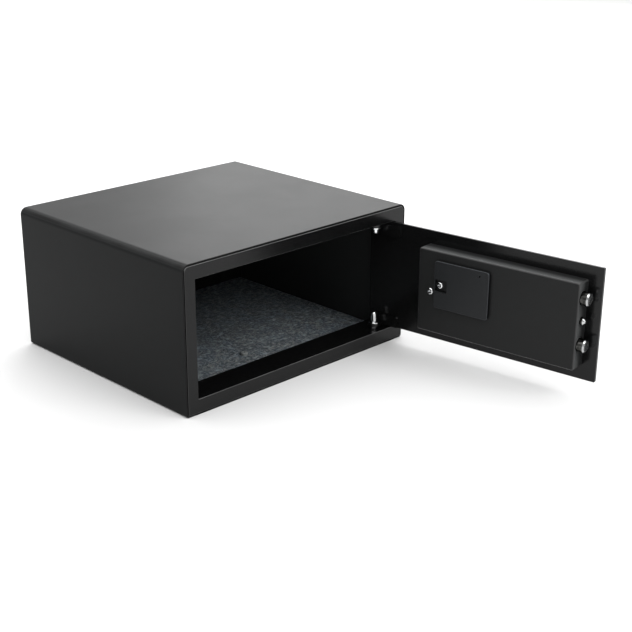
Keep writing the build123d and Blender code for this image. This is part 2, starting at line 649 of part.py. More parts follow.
def override_plug():
    """Turning plug with its key slot."""
    x, z = LOCK
    plug = rod_y(PLUG_R, OUTER - 2.3, CYL_BACK + 0.5, x, z)
    plug += slab(x - 2, x + 2, CYL_BACK + 0.5, CYL_BACK + 5, z - 2, z + 2)
    plug -= slab(x - 0.9, x + 0.9, OUTER - 3, CYL_BACK - 3, z - 3.8, z + 3.8)
    return plug - slab(x, x + 2.0, OUTER - 3, CYL_BACK - 3, z - 1.0, z + 1.0)


def override_cam():
    """Cam on the plug's square end; it hangs down at rest."""
    x, z = LOCK
    y0, y1 = CYL_BACK + 1.0, CYL_BACK + 3.0
    cam = rod_y(5.0, y0, y1, x, z) + slab(x - 4, x + 4, y0, y1, z - 10, z)
    cam += rod_y(4.0, y0, y1, x, z - 10)
    return cam - slab(x - 2, x + 2, y0 - 1, y1 + 1, z - 2, z + 2)


# ---------------------------------------------------------------- key pad
WINDOW_W, WINDOW_H, WINDOW_T = 64.0, 20.0, 1.5
WINDOW_Z = PAD_Z + PAD_H / 2 - 18
KEY_NAMES = ["0", "1", "2", "3", "4", "5", "6", "7", "8", "9", "clear", "lock"]


def pad_screw_places():
    dx, dz = PAD_W / 2 - 6, PAD_H / 2 - 6
    return [(PAD_X + sx * dx, PAD_Z + sz * dz) for sx in (-1, 1) for sz in (-1, 1)]


def key_place(i):
    """Centre of key i: two rows of six, counted from the left seen from outside."""
    column, row = i % 6, i // 6
    x = PAD_X + (column - 2.5) * KEY_PITCH_X
    return x, PAD_Z - 6 - row * KEY_PITCH_Z


def keypad_housing():
    x0, x1 = PAD_X - PAD_W / 2, PAD_X + PAD_W / 2
    z0, z1 = PAD_Z - PAD_H / 2, PAD_Z + PAD_H / 2
    shell = slab(x0, x1, PAD_FACE, OUTER, z0, z1)
    shell = fillet(shell.edges().filter_by(Axis.Y), 7.0)
    shell = fillet(edges_at(shell, Axis.Y, PAD_FACE), 1.8)
    t = PAD_T
    inside = slab(x0 + t, x1 - t, PAD_FACE + t, OUTER + 1, z0 + t, z1 - t)
    shell -= fillet(inside.edges().filter_by(Axis.Y), 5.0)
    for x, z in pad_screw_places():
        shell += rod_y(3.6, PAD_FACE + t, OUTER, x, z)
        shell -= rod_y(SCREW_R, PAD_FACE + t + 1, OUTER + 1, x, z)
    for i in range(len(KEY_NAMES)):
        x, z = key_place(i)
        w, h = KEY_W + 2 * KEY_GAP, KEY_H + 2 * KEY_GAP
        shell -= plate_xz(w, h, x, z, PAD_FACE - 1, PAD_FACE + t + 1, 2.0)
    recess = plate_xz(WINDOW_W + 0.2, WINDOW_H + 0.2, PAD_X, WINDOW_Z, PAD_FACE - 1, PAD_FACE + WINDOW_T, 2.0)
    view = slab(PAD_X - 27, PAD_X + 27, PAD_FACE, PAD_FACE + t + 1, WINDOW_Z - 7, WINDOW_Z + 7)
    return shell - recess - view


def display_window():
    return plate_xz(WINDOW_W, WINDOW_H, PAD_X, WINDOW_Z, PAD_FACE + 0.2, PAD_FACE + WINDOW_T, 1.9)


def display_module():
    """Display glass behind the window, standing on the key pad's board."""
    front = PAD_FACE + PAD_T + 0.3
    return slab(PAD_X - 30, PAD_X + 30, front, PAD_BOARD_Y, WINDOW_Z - 9, WINDOW_Z + 9)


PAD_BOARD_Y = PAD_FACE + 6.6


def keypad_board():
    dx, dz = PAD_W / 2 - PAD_T - 9, PAD_H / 2 - PAD_T - 1.5
    board = slab(PAD_X - dx, PAD_X + dx, PAD_BOARD_Y, PAD_BOARD_Y + 1.4, PAD_Z - dz, PAD_Z + dz)
    x, z = CABLE
    return board - slab(x - 2, x + 2, PAD_BOARD_Y - 1, PAD_BOARD_Y + 2, z - 7, z + 7)


def key_cap(i):
    """Key cap with the flange that keeps it behind the housing."""
    x, z = key_place(i)
    front = PAD_FACE - KEY_PROUD
    back = PAD_FACE + PAD_T
    cap = plate_xz(KEY_W, KEY_H, x, z, front, back + 0.3, 1.8)
    cap = fillet(edges_at(cap, Axis.Y, front), 0.7)
    flange = plate_xz(KEY_W + 2.4, KEY_H + 2.4, x, z, back + 0.3, back + 1.5, 2.0)
    stem = rod_y(2.0, back + 1.5, back + 3.2, x, z)
    return cap + flange + stem


def keypad_screws():
    """Screws from inside the door into the housing."""
    return join([screw(x, z, INNER, 10.0, 1.9, PAD_HEAD_R, 2.0) for x, z in pad_screw_places()])


# ---------------------------------------------------------------- write the parts
def main():
    os.makedirs("parts", exist_ok=True)
    cabinet = {
        "body_wrap": body_wrap(),
        "bottom_plate": bottom_plate(),
        "back_panel": back_panel(),
        "front_frame": front_frame(),
        "sill_return": sill_return(),
        "head_return": head_return(),
        "strike_plate": strike_plate(),
        "hinge_pin_lower": hinge_pin(1),
        "hinge_pin_upper": hinge_pin(-1),
        "hinge_washers": hinge_washers(),
        "pin_collars": pin_collars(),
        "carpet_mat": carpet_mat(),
        "anchor_caps": anchor_caps(),
    }
    door = {
        "door_plate": door_plate(),
        "hinge_tab_lower": hinge_tab(TAB_LOW, True),
        "hinge_tab_upper": hinge_tab(TAB_HIGH - TAB_T, False),
        "lock_box": lock_box(),
        "box_screw": box_screw(),
        "battery_cover": battery_cover(),
        "battery_screw": battery_screw(),
        "battery_tray": battery_tray(),
        "batteries": batteries(),
        "battery_springs": battery_springs(),
        "control_board": control_board(),
        "reset_button": reset_button(),
        "grommet": grommet(),
        "ribbon_cable": ribbon_cable(),
        "bolt_guide": bolt_guide(),
        "bolt_upper": locking_bolt(BOLT_Z[0]),
        "bolt_lower": locking_bolt(BOLT_Z[1]),
        "bolt_screws": bolt_screws(),
        "bolt_carriage": bolt_carriage(),
        "drive_pinion": drive_pinion(),
        "gear_motor": gear_motor(),
        "motor_bracket": motor_bracket(),
        "plunger_sleeve": plunger_sleeve(),
        "spring_plunger": spring_plunger(),
        "plunger_spring": plunger_spring(),
        "override_cylinder": override_cylinder(),
        "cylinder_nut": cylinder_nut(),
        "override_plug": override_plug(),
        "override_cam": override_cam(),
        "keypad_housing": keypad_housing(),
        "display_window": display_window(),
        "display_module": display_module(),
        "keypad_board": keypad_board(),
        "keypad_screws": keypad_screws(),
    }
    for i, name in enumerate(KEY_NAMES):
        door[f"key_{name}"] = key_cap(i)
    for name, shape in cabinet.items():
        save(shape, name)
    for name, shape in door.items():
        save(to_open(shape), name)


main()
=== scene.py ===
import json
import math
import random

import bpy
from mathutils import Matrix, Vector, noise


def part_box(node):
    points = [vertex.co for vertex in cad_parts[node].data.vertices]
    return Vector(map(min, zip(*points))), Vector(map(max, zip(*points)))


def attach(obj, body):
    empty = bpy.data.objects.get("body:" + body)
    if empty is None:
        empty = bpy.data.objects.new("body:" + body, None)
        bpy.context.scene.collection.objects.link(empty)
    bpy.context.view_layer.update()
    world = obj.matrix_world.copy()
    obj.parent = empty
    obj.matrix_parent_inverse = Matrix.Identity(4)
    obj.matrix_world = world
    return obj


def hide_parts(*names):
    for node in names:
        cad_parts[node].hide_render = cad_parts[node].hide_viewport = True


# In-room safe with its door open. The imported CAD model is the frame; this script adds the felt
# lining and the print on the keys, and gives every piece its finish. Metres throughout.

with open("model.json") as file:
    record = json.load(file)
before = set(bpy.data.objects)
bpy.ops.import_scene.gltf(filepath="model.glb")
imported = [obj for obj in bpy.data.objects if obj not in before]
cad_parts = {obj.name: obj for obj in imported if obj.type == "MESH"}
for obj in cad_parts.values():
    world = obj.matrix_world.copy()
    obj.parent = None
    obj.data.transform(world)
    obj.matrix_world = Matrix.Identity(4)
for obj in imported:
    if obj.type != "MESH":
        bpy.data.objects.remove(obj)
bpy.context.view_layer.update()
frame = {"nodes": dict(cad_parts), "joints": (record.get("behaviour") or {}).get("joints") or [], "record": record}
nodes = frame["nodes"]

MM = 0.001
RIGHT, BACK, UP = Vector((1, 0, 0)), Vector((0, 1, 0)), Vector((0, 0, 1))


# ---------------------------------------------------------------- the door's own axes
# The door is drawn open, and the lower limit of its joint is where it is closed.
hinge = next(j for j in frame["joints"] if j["name"] == "door_hinge")
open_angle = -math.radians(hinge["range_deg"][0])
turn = Matrix.Rotation(open_angle, 3, "Z")
door_right = turn @ RIGHT       # along the door, towards its hinge
door_out = turn @ -BACK         # out of the door's outer face
DOOR_AXES = [UP, door_right, door_out]


def reach(node, way):
    """How far a CAD node goes along a direction."""
    return max(v.co.dot(way) for v in nodes[node].data.vertices)


def outer_face(node):
    """Middle of a door piece's outer face, as a matrix with X to the right, Y up and Z outwards."""
    low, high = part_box(node)
    centre = (low + high) / 2
    centre += door_out * (reach(node, door_out) - centre.dot(door_out))
    place = Matrix((door_right, UP, door_out)).transposed().to_4x4()
    place.translation = centre
    return place


# ---------------------------------------------------------------- materials
def scaled(tint, gain):
    return tuple(gain * c for c in tint)


class Surface:
    """A Principled material, with short calls for the nodes used here."""

    def __init__(self, name, **sockets):
        self.material = bpy.data.materials.new(name)
        self.material.use_nodes = True
        self.tree = self.material.node_tree
        self.shader = self.tree.nodes["Principled BSDF"]
        self.shape = self.add("ShaderNodeTexCoord")
        self.here = self.shape.outputs["Object"]
        for socket, value in sockets.items():
            self.put(socket.replace("_", " "), value)

    def add(self, kind, **properties):
        node = self.tree.nodes.new(kind)
        for name, value in properties.items():
            setattr(node, name, value)
        return node

    def join(self, value, socket):
        """Links an output to a socket, or sets the socket to a plain value."""
        if isinstance(value, bpy.types.NodeSocket):
            self.tree.links.new(value, socket)
        elif isinstance(value, tuple) and len(value) == 3 and len(socket.default_value) == 4:
            socket.default_value = (*value, 1.0)
        else:
            socket.default_value = value

    def put(self, socket, value):
        self.join(value, self.shader.inputs[socket])

    def stretched(self, stretch):
        """The object's coordinates, scaled along each axis."""
        if stretch is None:
            return self.here
        node = self.add("ShaderNodeMapping")
        self.join(self.here, node.inputs["Vector"])
        node.inputs["Scale"].default_value = stretch
        return node.outputs["Vector"]

    def noise(self, size, detail=2.0, stretch=None, warp=0.0, roughness=0.5):
        """Noise whose lumps are about that many metres across."""
        node = self.add("ShaderNodeTexNoise")
        self.join(self.stretched(stretch), node.inputs["Vector"])
        settings = {"Scale": 1.0 / size, "Detail": detail, "Distortion": warp, "Roughness": roughness}
        for name, value in settings.items():
            node.inputs[name].default_value = value
        return node.outputs["Fac"]

    def cells(self, size, stretch=None):
        """Distance to the nearest of scattered points about that far apart, in cell sizes."""
        node = self.add("ShaderNodeTexVoronoi")
        self.join(self.stretched(stretch), node.inputs["Vector"])
        node.inputs["Scale"].default_value = 1.0 / size
        return node.outputs["Distance"]

    def span(self, value, low, high, to_low=0.0, to_high=1.0):
        """Maps the range low to high onto to_low to to_high, and stays there outside it."""
        node = self.add("ShaderNodeMapRange")
        ends = {"From Min": low, "From Max": high, "To Min": to_low, "To Max": to_high}
        for name, end in ends.items():
            node.inputs[name].default_value = end
        self.join(value, node.inputs["Value"])
        return node.outputs["Result"]

    def math(self, operation, a, b=0.0):
        node = self.add("ShaderNodeMath", operation=operation)
        self.join(a, node.inputs[0])
        self.join(b, node.inputs[1])
        return node.outputs["Value"]

    def mix(self, factor, a, b):
        node = self.add("ShaderNodeMix", data_type="RGBA")
        colour_a, colour_b, mixed = node.inputs[6], node.inputs[7], node.outputs[2]
        self.join(factor, node.inputs["Factor"])
        self.join(a, colour_a)
        self.join(b, colour_b)
        return mixed

    def dot(self, vector, way):
        node = self.add("ShaderNodeVectorMath", operation="DOT_PRODUCT")
        self.join(vector, node.inputs[0])
        node.inputs[1].default_value = way
        return node.outputs["Value"]

    def along(self, way):
        """How far the object's normal points along a direction."""
        return self.dot(self.shape.outputs["Normal"], way)

    def below(self, face, way):
        """How far a point lies behind a flat face, given as its distance along a direction."""
        return self.math("SUBTRACT", face, self.dot(self.here, way))

    def off_axis(self, axes):
        """1 where the surface turns away from all of these axes, 0 where it faces one of them."""
        nearest = 0.0
        for way in axes:
            nearest = self.math("MAXIMUM", nearest, self.math("ABSOLUTE", self.along(way)))
        return self.span(nearest, 0.97, 0.80)

    def bump(self, *layers):
        """Stacks (height, metres) layers and gives the normal to the shader."""
        normal = None
        for height, distance in layers:
            node = self.add("ShaderNodeBump")
            node.inputs["Distance"].default_value = distance
            self.join(height, node.inputs["Height"])
            if normal is not None:
                self.join(normal, node.inputs["Normal"])
            normal = node.outputs["Normal"]
        self.put("Normal", normal)


# powder coat: how much paler the grains' tops are, the painted light inside a shell and the painted highlight on
# the walls behind a rim
GRAIN_GAIN, SHELL_LIGHT_GAIN, RIM_HIGHLIGHT_GAIN = 1.25, 3.5, 4.2
SKIN = (0.5 * MM, 1.5 * MM)         # depths between which a face's own coat gives way to those
RIM_HIGHLIGHT_FADE = (6 * MM, 16 * MM)        # depths between which the painted rim highlight fades out
EDGE_POLISH = 0.12                  # how much smoother an eased edge is, under its painted highlight


def powder_coat(name, tint, axes, sheen_loss=0.36, peel=1.0, specular=0.2, edge=0.045, upright=1.0,
                rim=None, shell=None):
    """Fine satin powder coat: small grains over a soft orange peel, smoother on eased edges.

    edge is the grey of a painted highlight on those eased edges, and upright how much of it the upright
    edges show. rim, a node and the way its face points, paints a highlight on the walls just behind that
    face. shell, a list of (distance, way) for the outer faces, paints everything inside them paler, as
    painted light.
    """
    s = Surface(name, Specular_IOR_Level=specular)
    grain = s.noise(0.5 * MM)
    soft = s.noise(1.9 * MM, detail=1.0)
    patches = s.noise(70 * MM, detail=4.0, warp=0.6)
    coat = s.mix(s.span(grain, 0.35, 0.7), tint, scaled(tint, GRAIN_GAIN))
    # painted light: everything inside the shell's outer faces is painted paler
    if shell:
        depth = 1.0
        for face, way in shell:
            depth = s.math("MINIMUM", depth, s.below(face, way))
        coat = s.mix(s.span(depth, *SKIN), coat, scaled(tint, SHELL_LIGHT_GAIN))
    # painted highlight: the walls just behind the rim's face are painted paler, fading with depth
    if rim:
        node, way = rim
        depth = s.below(reach(node, way), way)
        rim_highlight = s.math("MULTIPLY", s.span(depth, *SKIN), s.span(depth, *RIM_HIGHLIGHT_FADE, 1.0, 0.0))
        coat = s.mix(rim_highlight, coat, scaled(tint, RIM_HIGHLIGHT_GAIN))
    # painted highlight: the eased edges get the paler edge grey, in patches and weaker on upright edges
    level = s.math("ABSOLUTE", s.along(UP))
    eased = s.math("MULTIPLY", s.off_axis(axes), s.span(level, 0.0, 0.5, upright, 1.0))
    wear_and_highlight = s.math("MULTIPLY", eased, s.span(patches, 0.3, 0.6, 0.5, 1.0))
    s.put("Base Color", s.mix(wear_and_highlight, coat, (edge,) * 3))
    wear = s.span(patches, 0.35, 0.7, sheen_loss - 0.010, sheen_loss + 0.014)
    rough = s.math("ADD", wear, s.span(grain, 0.3, 0.7, -0.03, 0.03))
    s.put("Roughness", s.math("SUBTRACT", rough, s.math("MULTIPLY", eased, EDGE_POLISH)))
    s.bump((soft, 0.05 * MM * peel), (grain, 0.035 * MM * peel))
    return s.material


def chrome(name):
    s = Surface(name, Base_Color=(0.86, 0.87, 0.88), Metallic=1.0)
    haze = s.noise(3 * MM, detail=5.0, roughness=0.65)
    s.put("Roughness", s.span(haze, 0.3, 0.75, 0.05, 0.17))
    s.bump((s.noise(0.35 * MM, detail=1.0), 0.002 * MM))
    return s.material


def bolt_steel(name, end_way):
    """Ground steel bolt: polished on the end that points end_way; its sides have a near-black colour painted in as
    a dark reflection, streaked paler.
    """
    s = Surface(name, Metallic=1.0)
    end = s.span(s.along(end_way), 0.55, 0.9)
    side_streaks = s.noise(5 * MM, detail=4.0, warp=0.8)
    # painted reflection: the sides' near-black colours stand in for a dark surrounding reflected in them
    side = s.mix(s.span(side_streaks, 0.35, 0.7), (0.020, 0.020, 0.019), (0.085, 0.085, 0.080))
    s.put("Base Color", s.mix(end, side, (0.80, 0.81, 0.82)))
    s.put("Roughness", s.span(side_streaks, 0.3, 0.75, 0.09, 0.2))
    s.bump((s.noise(0.35 * MM, detail=1.0), 0.002 * MM))
    return s.material


def mottled(name, tints, size, rough, relief, detail=4.0, stretch=None, **sockets):
    """Two tints and two roughnesses mixed by patches; relief is the size and depth of a fine noise."""
    s = Surface(name, **sockets)
    patch = s.noise(size, detail=detail)
    s.put("Base Color", s.mix(patch, *tints))
    s.put("Roughness", s.span(patch, 0.3, 0.7, *rough))
    grain, depth = relief
    s.bump((s.noise(grain, stretch=stretch), depth))
    return s.material


def moulded(name, tint, roughness=0.42, grain_depth=0.02 * MM, specular=0.4, axes=(), lid=None):
    """Moulded plastic with a fine spark-eroded texture, with a painted highlight where it turns from the axes.

    lid, a node and the way its face points, paints shade on what lies behind that face, darker the deeper it lies.
    """
    s = Surface(name, Specular_IOR_Level=specular)
    spark = s.cells(0.55 * MM)
    blotch = s.noise(25 * MM, detail=3.0)
    colour = s.mix(s.span(spark, 0.1, 0.7), tint, scaled(tint, 1.3))
    # painted highlight on the edges that turn from the axes
    if axes:
        colour = s.mix(s.off_axis(axes), colour, scaled(tint, 6))
    # painted shade in the recesses behind the lid's face
    if lid:
        node, way = lid
        depth = s.below(reach(node, way), way)
        colour = s.mix(s.span(depth, 0.5 * MM, 1.6 * MM, 0.0, 0.85), colour, (0.0, 0.0, 0.0))
    s.put("Base Color", colour)
    s.put("Roughness", s.span(blotch, 0.3, 0.7, roughness - 0.03, roughness + 0.04))
    s.bump((spark, grain_depth), (s.noise(0.2 * MM), 0.4 * grain_depth))
    return s.material


def felt(name):
    """Charcoal needle felt: tangled fibres in several greys, some with a blue cast, over gaps painted near black
    as the shade between them.
    """
    s = Surface(name, Specular_IOR_Level=0.15, Sheen_Weight=0.25, Sheen_Roughness=0.6,
                Sheen_Tint=(0.58, 0.67, 0.76), Roughness=0.95)
    blue_grey, warm_grey = (0.152, 0.186, 0.214), (0.206, 0.200, 0.182)
    gap, shadow, pale = (0.004, 0.005, 0.0052), (0.038, 0.047, 0.048), (0.33, 0.38, 0.38)
    across = s.noise(5.2 * MM, detail=3.0, stretch=(1.0, 0.4, 1.0), warp=2.5, roughness=0.62)
    along = s.noise(5.8 * MM, detail=3.0, stretch=(0.4, 1.0, 1.0), warp=2.5, roughness=0.62)
    tangle = s.math("MAXIMUM", across, along)
    clumps = s.noise(17 * MM, detail=3.0, warp=1.0)
    flecks = s.cells(7.5 * MM, stretch=(0.6, 0.9, 1.0))
    tint = s.mix(s.span(s.noise(16 * MM), 0.38, 0.62), blue_grey, warm_grey)
    # painted shade: where the tangle, and so the bump, is low, the gaps between fibres are painted near black
    ground = s.mix(s.span(tangle, 0.525, 0.625), gap, tint)
    shade = s.mix(s.span(clumps, 0.35, 0.7, 0.0, 0.45), ground, shadow)
    s.put("Base Color", s.mix(s.span(flecks, 0.05, 0.36, 0.5, 0.0), shade, pale))
    s.bump((clumps, 0.6 * MM), (tangle, 0.8 * MM))
    return s.material


def fibre(name):
    s = Surface(name, Roughness=0.8, Specular_IOR_Level=0.2, Sheen_Weight=0.3)
    lot = s.noise(2.2 * MM, detail=3.0, roughness=0.8)
    s.put("Base Color", s.mix(s.span(lot, 0.38, 0.62), (0.029, 0.034, 0.038), (0.40, 0.45, 0.48)))
    return s.material


def circuit_board(name):
    """Green solder mask over slightly raised, paler tracks."""
    s = Surface(name, Specular_IOR_Level=0.5)
    tracks = s.span(s.noise(2.2 * MM, detail=0.0, stretch=(1.0, 1.0, 0.2)), 0.5, 0.53)
    s.put("Base Color", s.mix(tracks, (0.008, 0.085, 0.035), (0.015, 0.14, 0.06)))
    s.put("Roughness", s.span(s.noise(12 * MM), 0.3, 0.7, 0.25, 0.4))
    s.bump((tracks, 0.03 * MM))
    return s.material


def smoked_window(name):
    """Near-black glossy window over the unlit display."""
    s = Surface(name, Base_Color=(0.0030, 0.0032, 0.0034), Specular_IOR_Level=0.22)
    s.put("Roughness", s.span(s.noise(6 * MM, detail=4.0), 0.3, 0.7, 0.03, 0.08))
    s.bump((s.noise(4 * MM, detail=1.0), 0.003 * MM))
    return s.material


def display_glass(name):
    s = Surface(name, Specular_IOR_Level=0.5)
    s.put("Base Color", s.mix(s.noise(20 * MM), (0.10, 0.12, 0.095), (0.13, 0.15, 0.12)))
    s.put("Roughness", s.span(s.noise(5 * MM), 0.3, 0.7, 0.10, 0.18))
    return s.material


def print_ink(name, tint):
    s = Surface(name, Specular_IOR_Level=0.4)
    wear_and_highlight = s.noise(0.7 * MM, detail=3.0)
    s.put("Base Color", s.mix(s.span(wear_and_highlight, 0.35, 0.6), scaled(tint, 0.8), tint))
    s.put("Roughness", s.span(wear_and_highlight, 0.3, 0.7, 0.45, 0.6))
    return s.material


cabinet_shell = [(reach("body_wrap", way), way) for way in (RIGHT, -RIGHT, UP)]
cabinet_shell.append((reach("back_panel", BACK), BACK))

finishes = {
    # body_paint's shell paints the cabinet's inside paler, as painted light; its edge grey is a painted highlight
    "body_paint": powder_coat(
        "body_paint", (0.0070, 0.0074, 0.0075), [UP, RIGHT], specular=0.06, edge=0.010,
        shell=cabinet_shell),
    # frame_paint's edge grey is a strong painted highlight on its eased edges, weak on the upright ones
    "frame_paint": powder_coat(
        "frame_paint", (0.0024, 0.0025, 0.0026), [UP, RIGHT, BACK], sheen_loss=0.23, peel=0.5,
        specular=0.25, edge=0.16, upright=0.25),
    "door_paint": powder_coat(
        "door_paint", (0.0040, 0.0041, 0.0042), DOOR_AXES, sheen_loss=0.17, peel=0.4, specular=0.25),
    # box_paint's rim paints a highlight on the lock box's walls just behind its face
    "box_paint": powder_coat(
        "box_paint", (0.0118, 0.0122, 0.0123), DOOR_AXES, peel=1.4, specular=0.12, edge=0.04,
        rim=("lock_box", -door_out)),
    "chrome_parts": chrome("chrome_parts"),
    # bolt_parts: the bolts' sides are painted dark as a painted reflection
    "bolt_parts": bolt_steel("bolt_parts", -door_right),
    "plated_steel": mottled(
        "plated_steel", [(0.50, 0.50, 0.51), (0.66, 0.66, 0.65)], 9 * MM, (0.24, 0.38),
        (0.5 * MM, 0.006 * MM), stretch=(1.0, 1.0, 0.06), Metallic=1.0),
    "brass_parts": mottled(
        "brass_parts", [(0.66, 0.49, 0.22), (0.80, 0.63, 0.34)], 4 * MM, (0.16, 0.32),
        (0.3 * MM, 0.003 * MM), Metallic=1.0),
    # lid_plastic: painted highlight on its eased edges and painted shade in the screw pocket behind its face
    "lid_plastic": moulded(
        "lid_plastic", (0.0078, 0.0086, 0.0096), roughness=0.40, specular=0.26, axes=DOOR_AXES,
        lid=("battery_cover", -door_out)),
    "pad_plastic": moulded("pad_plastic", (0.0130, 0.0132, 0.0140), roughness=0.38),
    "inner_plastic": moulded("inner_plastic", (0.02, 0.02, 0.02), roughness=0.5),
    "key_plastic": moulded(
        "key_plastic", (0.050, 0.052, 0.056), roughness=0.45, grain_depth=0.012 * MM),
    "cap_plastic": moulded(
        "cap_plastic", (0.135, 0.145, 0.142), roughness=0.45, grain_depth=0.01 * MM),
    "window": smoked_window("window"),
    "display_glass": display_glass("display_glass"),
    "board": circuit_board("board"),
    "cell_wrap": mottled(
        "cell_wrap", [(0.06, 0.065, 0.08), (0.10, 0.105, 0.12)], 8 * MM, (0.2, 0.3),
        (1.5 * MM, 0.02 * MM), detail=3.0, Specular_IOR_Level=0.5),
    "rubber_parts": mottled(
        "rubber_parts", [(0.012, 0.012, 0.012), (0.03, 0.03, 0.03)], 3 * MM, (0.6, 0.75),
        (0.6 * MM, 0.02 * MM), Specular_IOR_Level=0.35),
    "felt": felt("felt"),
}

for part in frame["record"]["subparts"]:
    for slot in nodes[part["node"]].material_slots:
        slot.material = finishes[part["material_slot"]]


# ---------------------------------------------------------------- mesh helpers
def in_scene(name, data):
    thing = bpy.data.objects.new(name, data)
    bpy.context.scene.collection.objects.link(thing)
    return thing


def mesh_piece(name, points, faces, body, slot_name, material=None, smooth=True):
    """A new piece from points in the part's frame, riding on a CAD body."""
    mesh = bpy.data.meshes.new(name)
    mesh.from_pydata(points, [], faces)
    mesh.update()
    mesh.polygons.foreach_set("use_smooth", [smooth] * len(mesh.polygons))
    mesh.materials.append(material or finishes[slot_name])
    piece = in_scene(name, mesh)
    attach(piece, body)
    return piece


# ---------------------------------------------------------------- felt lining
FELT_CELL = 2.4 * MM            # the sheet's grid
SNAP = (-0.5, 0.55)             # grid points this near a hole's rim, in cells, move onto it
LUMP_SIZE, PILE_SIZE = 7 * MM, 1.7 * MM
LUMP_DEPTH = 0.45 * MM
SOFT_EDGE, EDGE_DROP = 1.4 * MM, 1.1 * MM
FIBRES, FIBRE_STEPS, FIBRE_SEED = 5200, 4, 7
FIBRE_MARGIN, FIBRE_SUNK = 5 * MM, 0.35 * MM
HOLE_MARGIN = 4 * MM            # no fibre lies this close to a hole

mat_low, mat_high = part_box("carpet_mat")


def anchor_holes():
    """Centres and radius of the mat's two holes over the floor anchors."""
    anchor = next(m for m in frame["record"]["mounts"] if m["name"] == "floor_anchors")
    half_pitch = anchor["dims"]["spacing_y_mm"] * MM / 2
    centres = [Vector((anchor["pos_m"][0], side * half_pitch)) for side in (-1, 1)]
    radius = min((v.co.xy - centres[0]).length for v in nodes["carpet_mat"].data.vertices)
    return centres, radius


holes, hole_r = anchor_holes()


def felt_drop(x, y, edge_distance):
    """Drop of the felt's top below its nominal face, from its lumps and its soft edge."""
    lumps = noise.fractal(Vector((x, y, 0)) / LUMP_SIZE, 0.8, 2.0, 3)
    pile = noise.noise(Vector((x, y, 5 * MM)) / PILE_SIZE)
    rounding = EDGE_DROP * math.exp(-((edge_distance / SOFT_EDGE) ** 2))
    return LUMP_DEPTH * (0.9 - 0.5 * lumps - 0.45 * pile) + rounding


def felt_mat():
    """Needle-felt sheet with a soft uneven top and holes cut over the floor anchors."""
    low, high = mat_low, mat_high
    width, length = high.x - low.x, high.y - low.y
    columns, rows = round(width / FELT_CELL), round(length / FELT_CELL)

    def at(i, j):
        """A grid point, moved onto a hole's rim where it lies near one."""
        place = Vector((low.x + width * i / columns, low.y + length * j / rows))
        for centre in holes:
            away = place - centre
            if SNAP[0] < (away.length - hole_r) / FELT_CELL < SNAP[1]:
                place = centre + away.normalized() * hole_r
        return place

    grid = [[at(i, j) for i in range(columns + 1)] for j in range(rows + 1)]
    index, points, top = {}, [], []

    def point(i, j):
        """The number of a grid point's vertex, made when it is first asked for."""
        if (i, j) not in index:
            x, y = grid[j][i]
            edge = min(x - low.x, high.x - x, y - low.y, high.y - y,
                       *(abs((grid[j][i] - c).length - hole_r) for c in holes))
            index[i, j] = len(points)
            points.append((x, y, high.z - felt_drop(x, y, edge)))
        return index[i, j]

    # the top, without the cells that lie in a hole
    for j in range(rows):
        for i in range(columns):
            corners = [(i, j), (i + 1, j), (i + 1, j + 1), (i, j + 1)]
            centre = sum((grid[b][a] for a, b in corners), Vector((0, 0))) / 4
            if all((centre - c).length > hole_r * 0.98 for c in holes):
                top.append([point(a, b) for a, b in corners])

    # a flat underside, and walls round the sheet and the holes
    count = len(points)
    points += [(x, y, low.z) for x, y, _ in points]
    edges = dict.fromkeys((a, b) for face in top for a, b in zip(face, face[1:] + face[:1]))
    faces = top + [[count + k for k in reversed(face)] for face in top]
    faces += [[b, a, count + a, count + b] for a, b in edges if (b, a) not in edges]
    mat = mesh_piece("felt_lining", points, faces, "cabinet", "felt")
    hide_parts("carpet_mat")
    area = width * length - 2 * math.pi * hole_r**2
    return mat, (width, length), area


def strand(start, heading, length, bend, thick, lift, points, faces):
    """One loose fibre: a thin three-sided thread that arches off the felt."""
    place, rings = start.copy(), []
    for k in range(FIBRE_STEPS + 1):
        t = k / FIBRE_STEPS
        angle = heading + bend * (t - 0.5)
        side = Vector((-math.sin(angle), math.cos(angle), 0))
        centre = place + UP * lift * math.sin(math.pi * t)
        full = min(max(t, 0.12), 0.88)          # keeps the thin ends from closing up
        r = thick * (0.35 + 0.65 * math.sin(math.pi * full))
        ring = []
        for corner in range(3):
            around = math.tau * corner / 3
            ring.append(len(points))
            points.append(centre + side * r * math.cos(around) + UP * r * math.sin(around))
        rings.append(ring)
        place += Vector((math.cos(angle), math.sin(angle), 0)) * length / FIBRE_STEPS
    for a, b in zip(rings, rings[1:]):
        faces.extend([a[n], a[(n + 1) % 3], b[(n + 1) % 3], b[n]] for n in range(3))
    faces += [rings[0][::-1], rings[-1]]


def felt_fibres():
    """Loose fibres that lie over the felt's face."""
    draw = random.Random(FIBRE_SEED)
    points, faces, laid = [], [], 0
    while laid < FIBRES:
        x = draw.uniform(mat_low.x + FIBRE_MARGIN, mat_high.x - FIBRE_MARGIN)
        y = draw.uniform(mat_low.y + FIBRE_MARGIN, mat_high.y - FIBRE_MARGIN)
        if any((Vector((x, y)) - c).length < hole_r + HOLE_MARGIN for c in holes):
            continue
        middle = Vector((x, y, mat_high.z - FIBRE_SUNK))
        length = draw.uniform(3.0, 8.0) * MM
        heading, bend = draw.uniform(0, math.tau), draw.uniform(-1.8, 1.8)
        lift = draw.uniform(0.15, 0.7) * MM
        thick = draw.uniform(0.07, 0.16) * MM
        half = Vector((math.cos(heading), math.sin(heading), 0)) * length / 2
        strand(middle - half, heading, length, bend, thick, lift, points, faces)
        laid += 1
    return mesh_piece("felt_fibres", points, faces, "cabinet", "felt", fibre("felt_fibre"))


mat, flat, area = felt_mat()
fibres = felt_fibres()


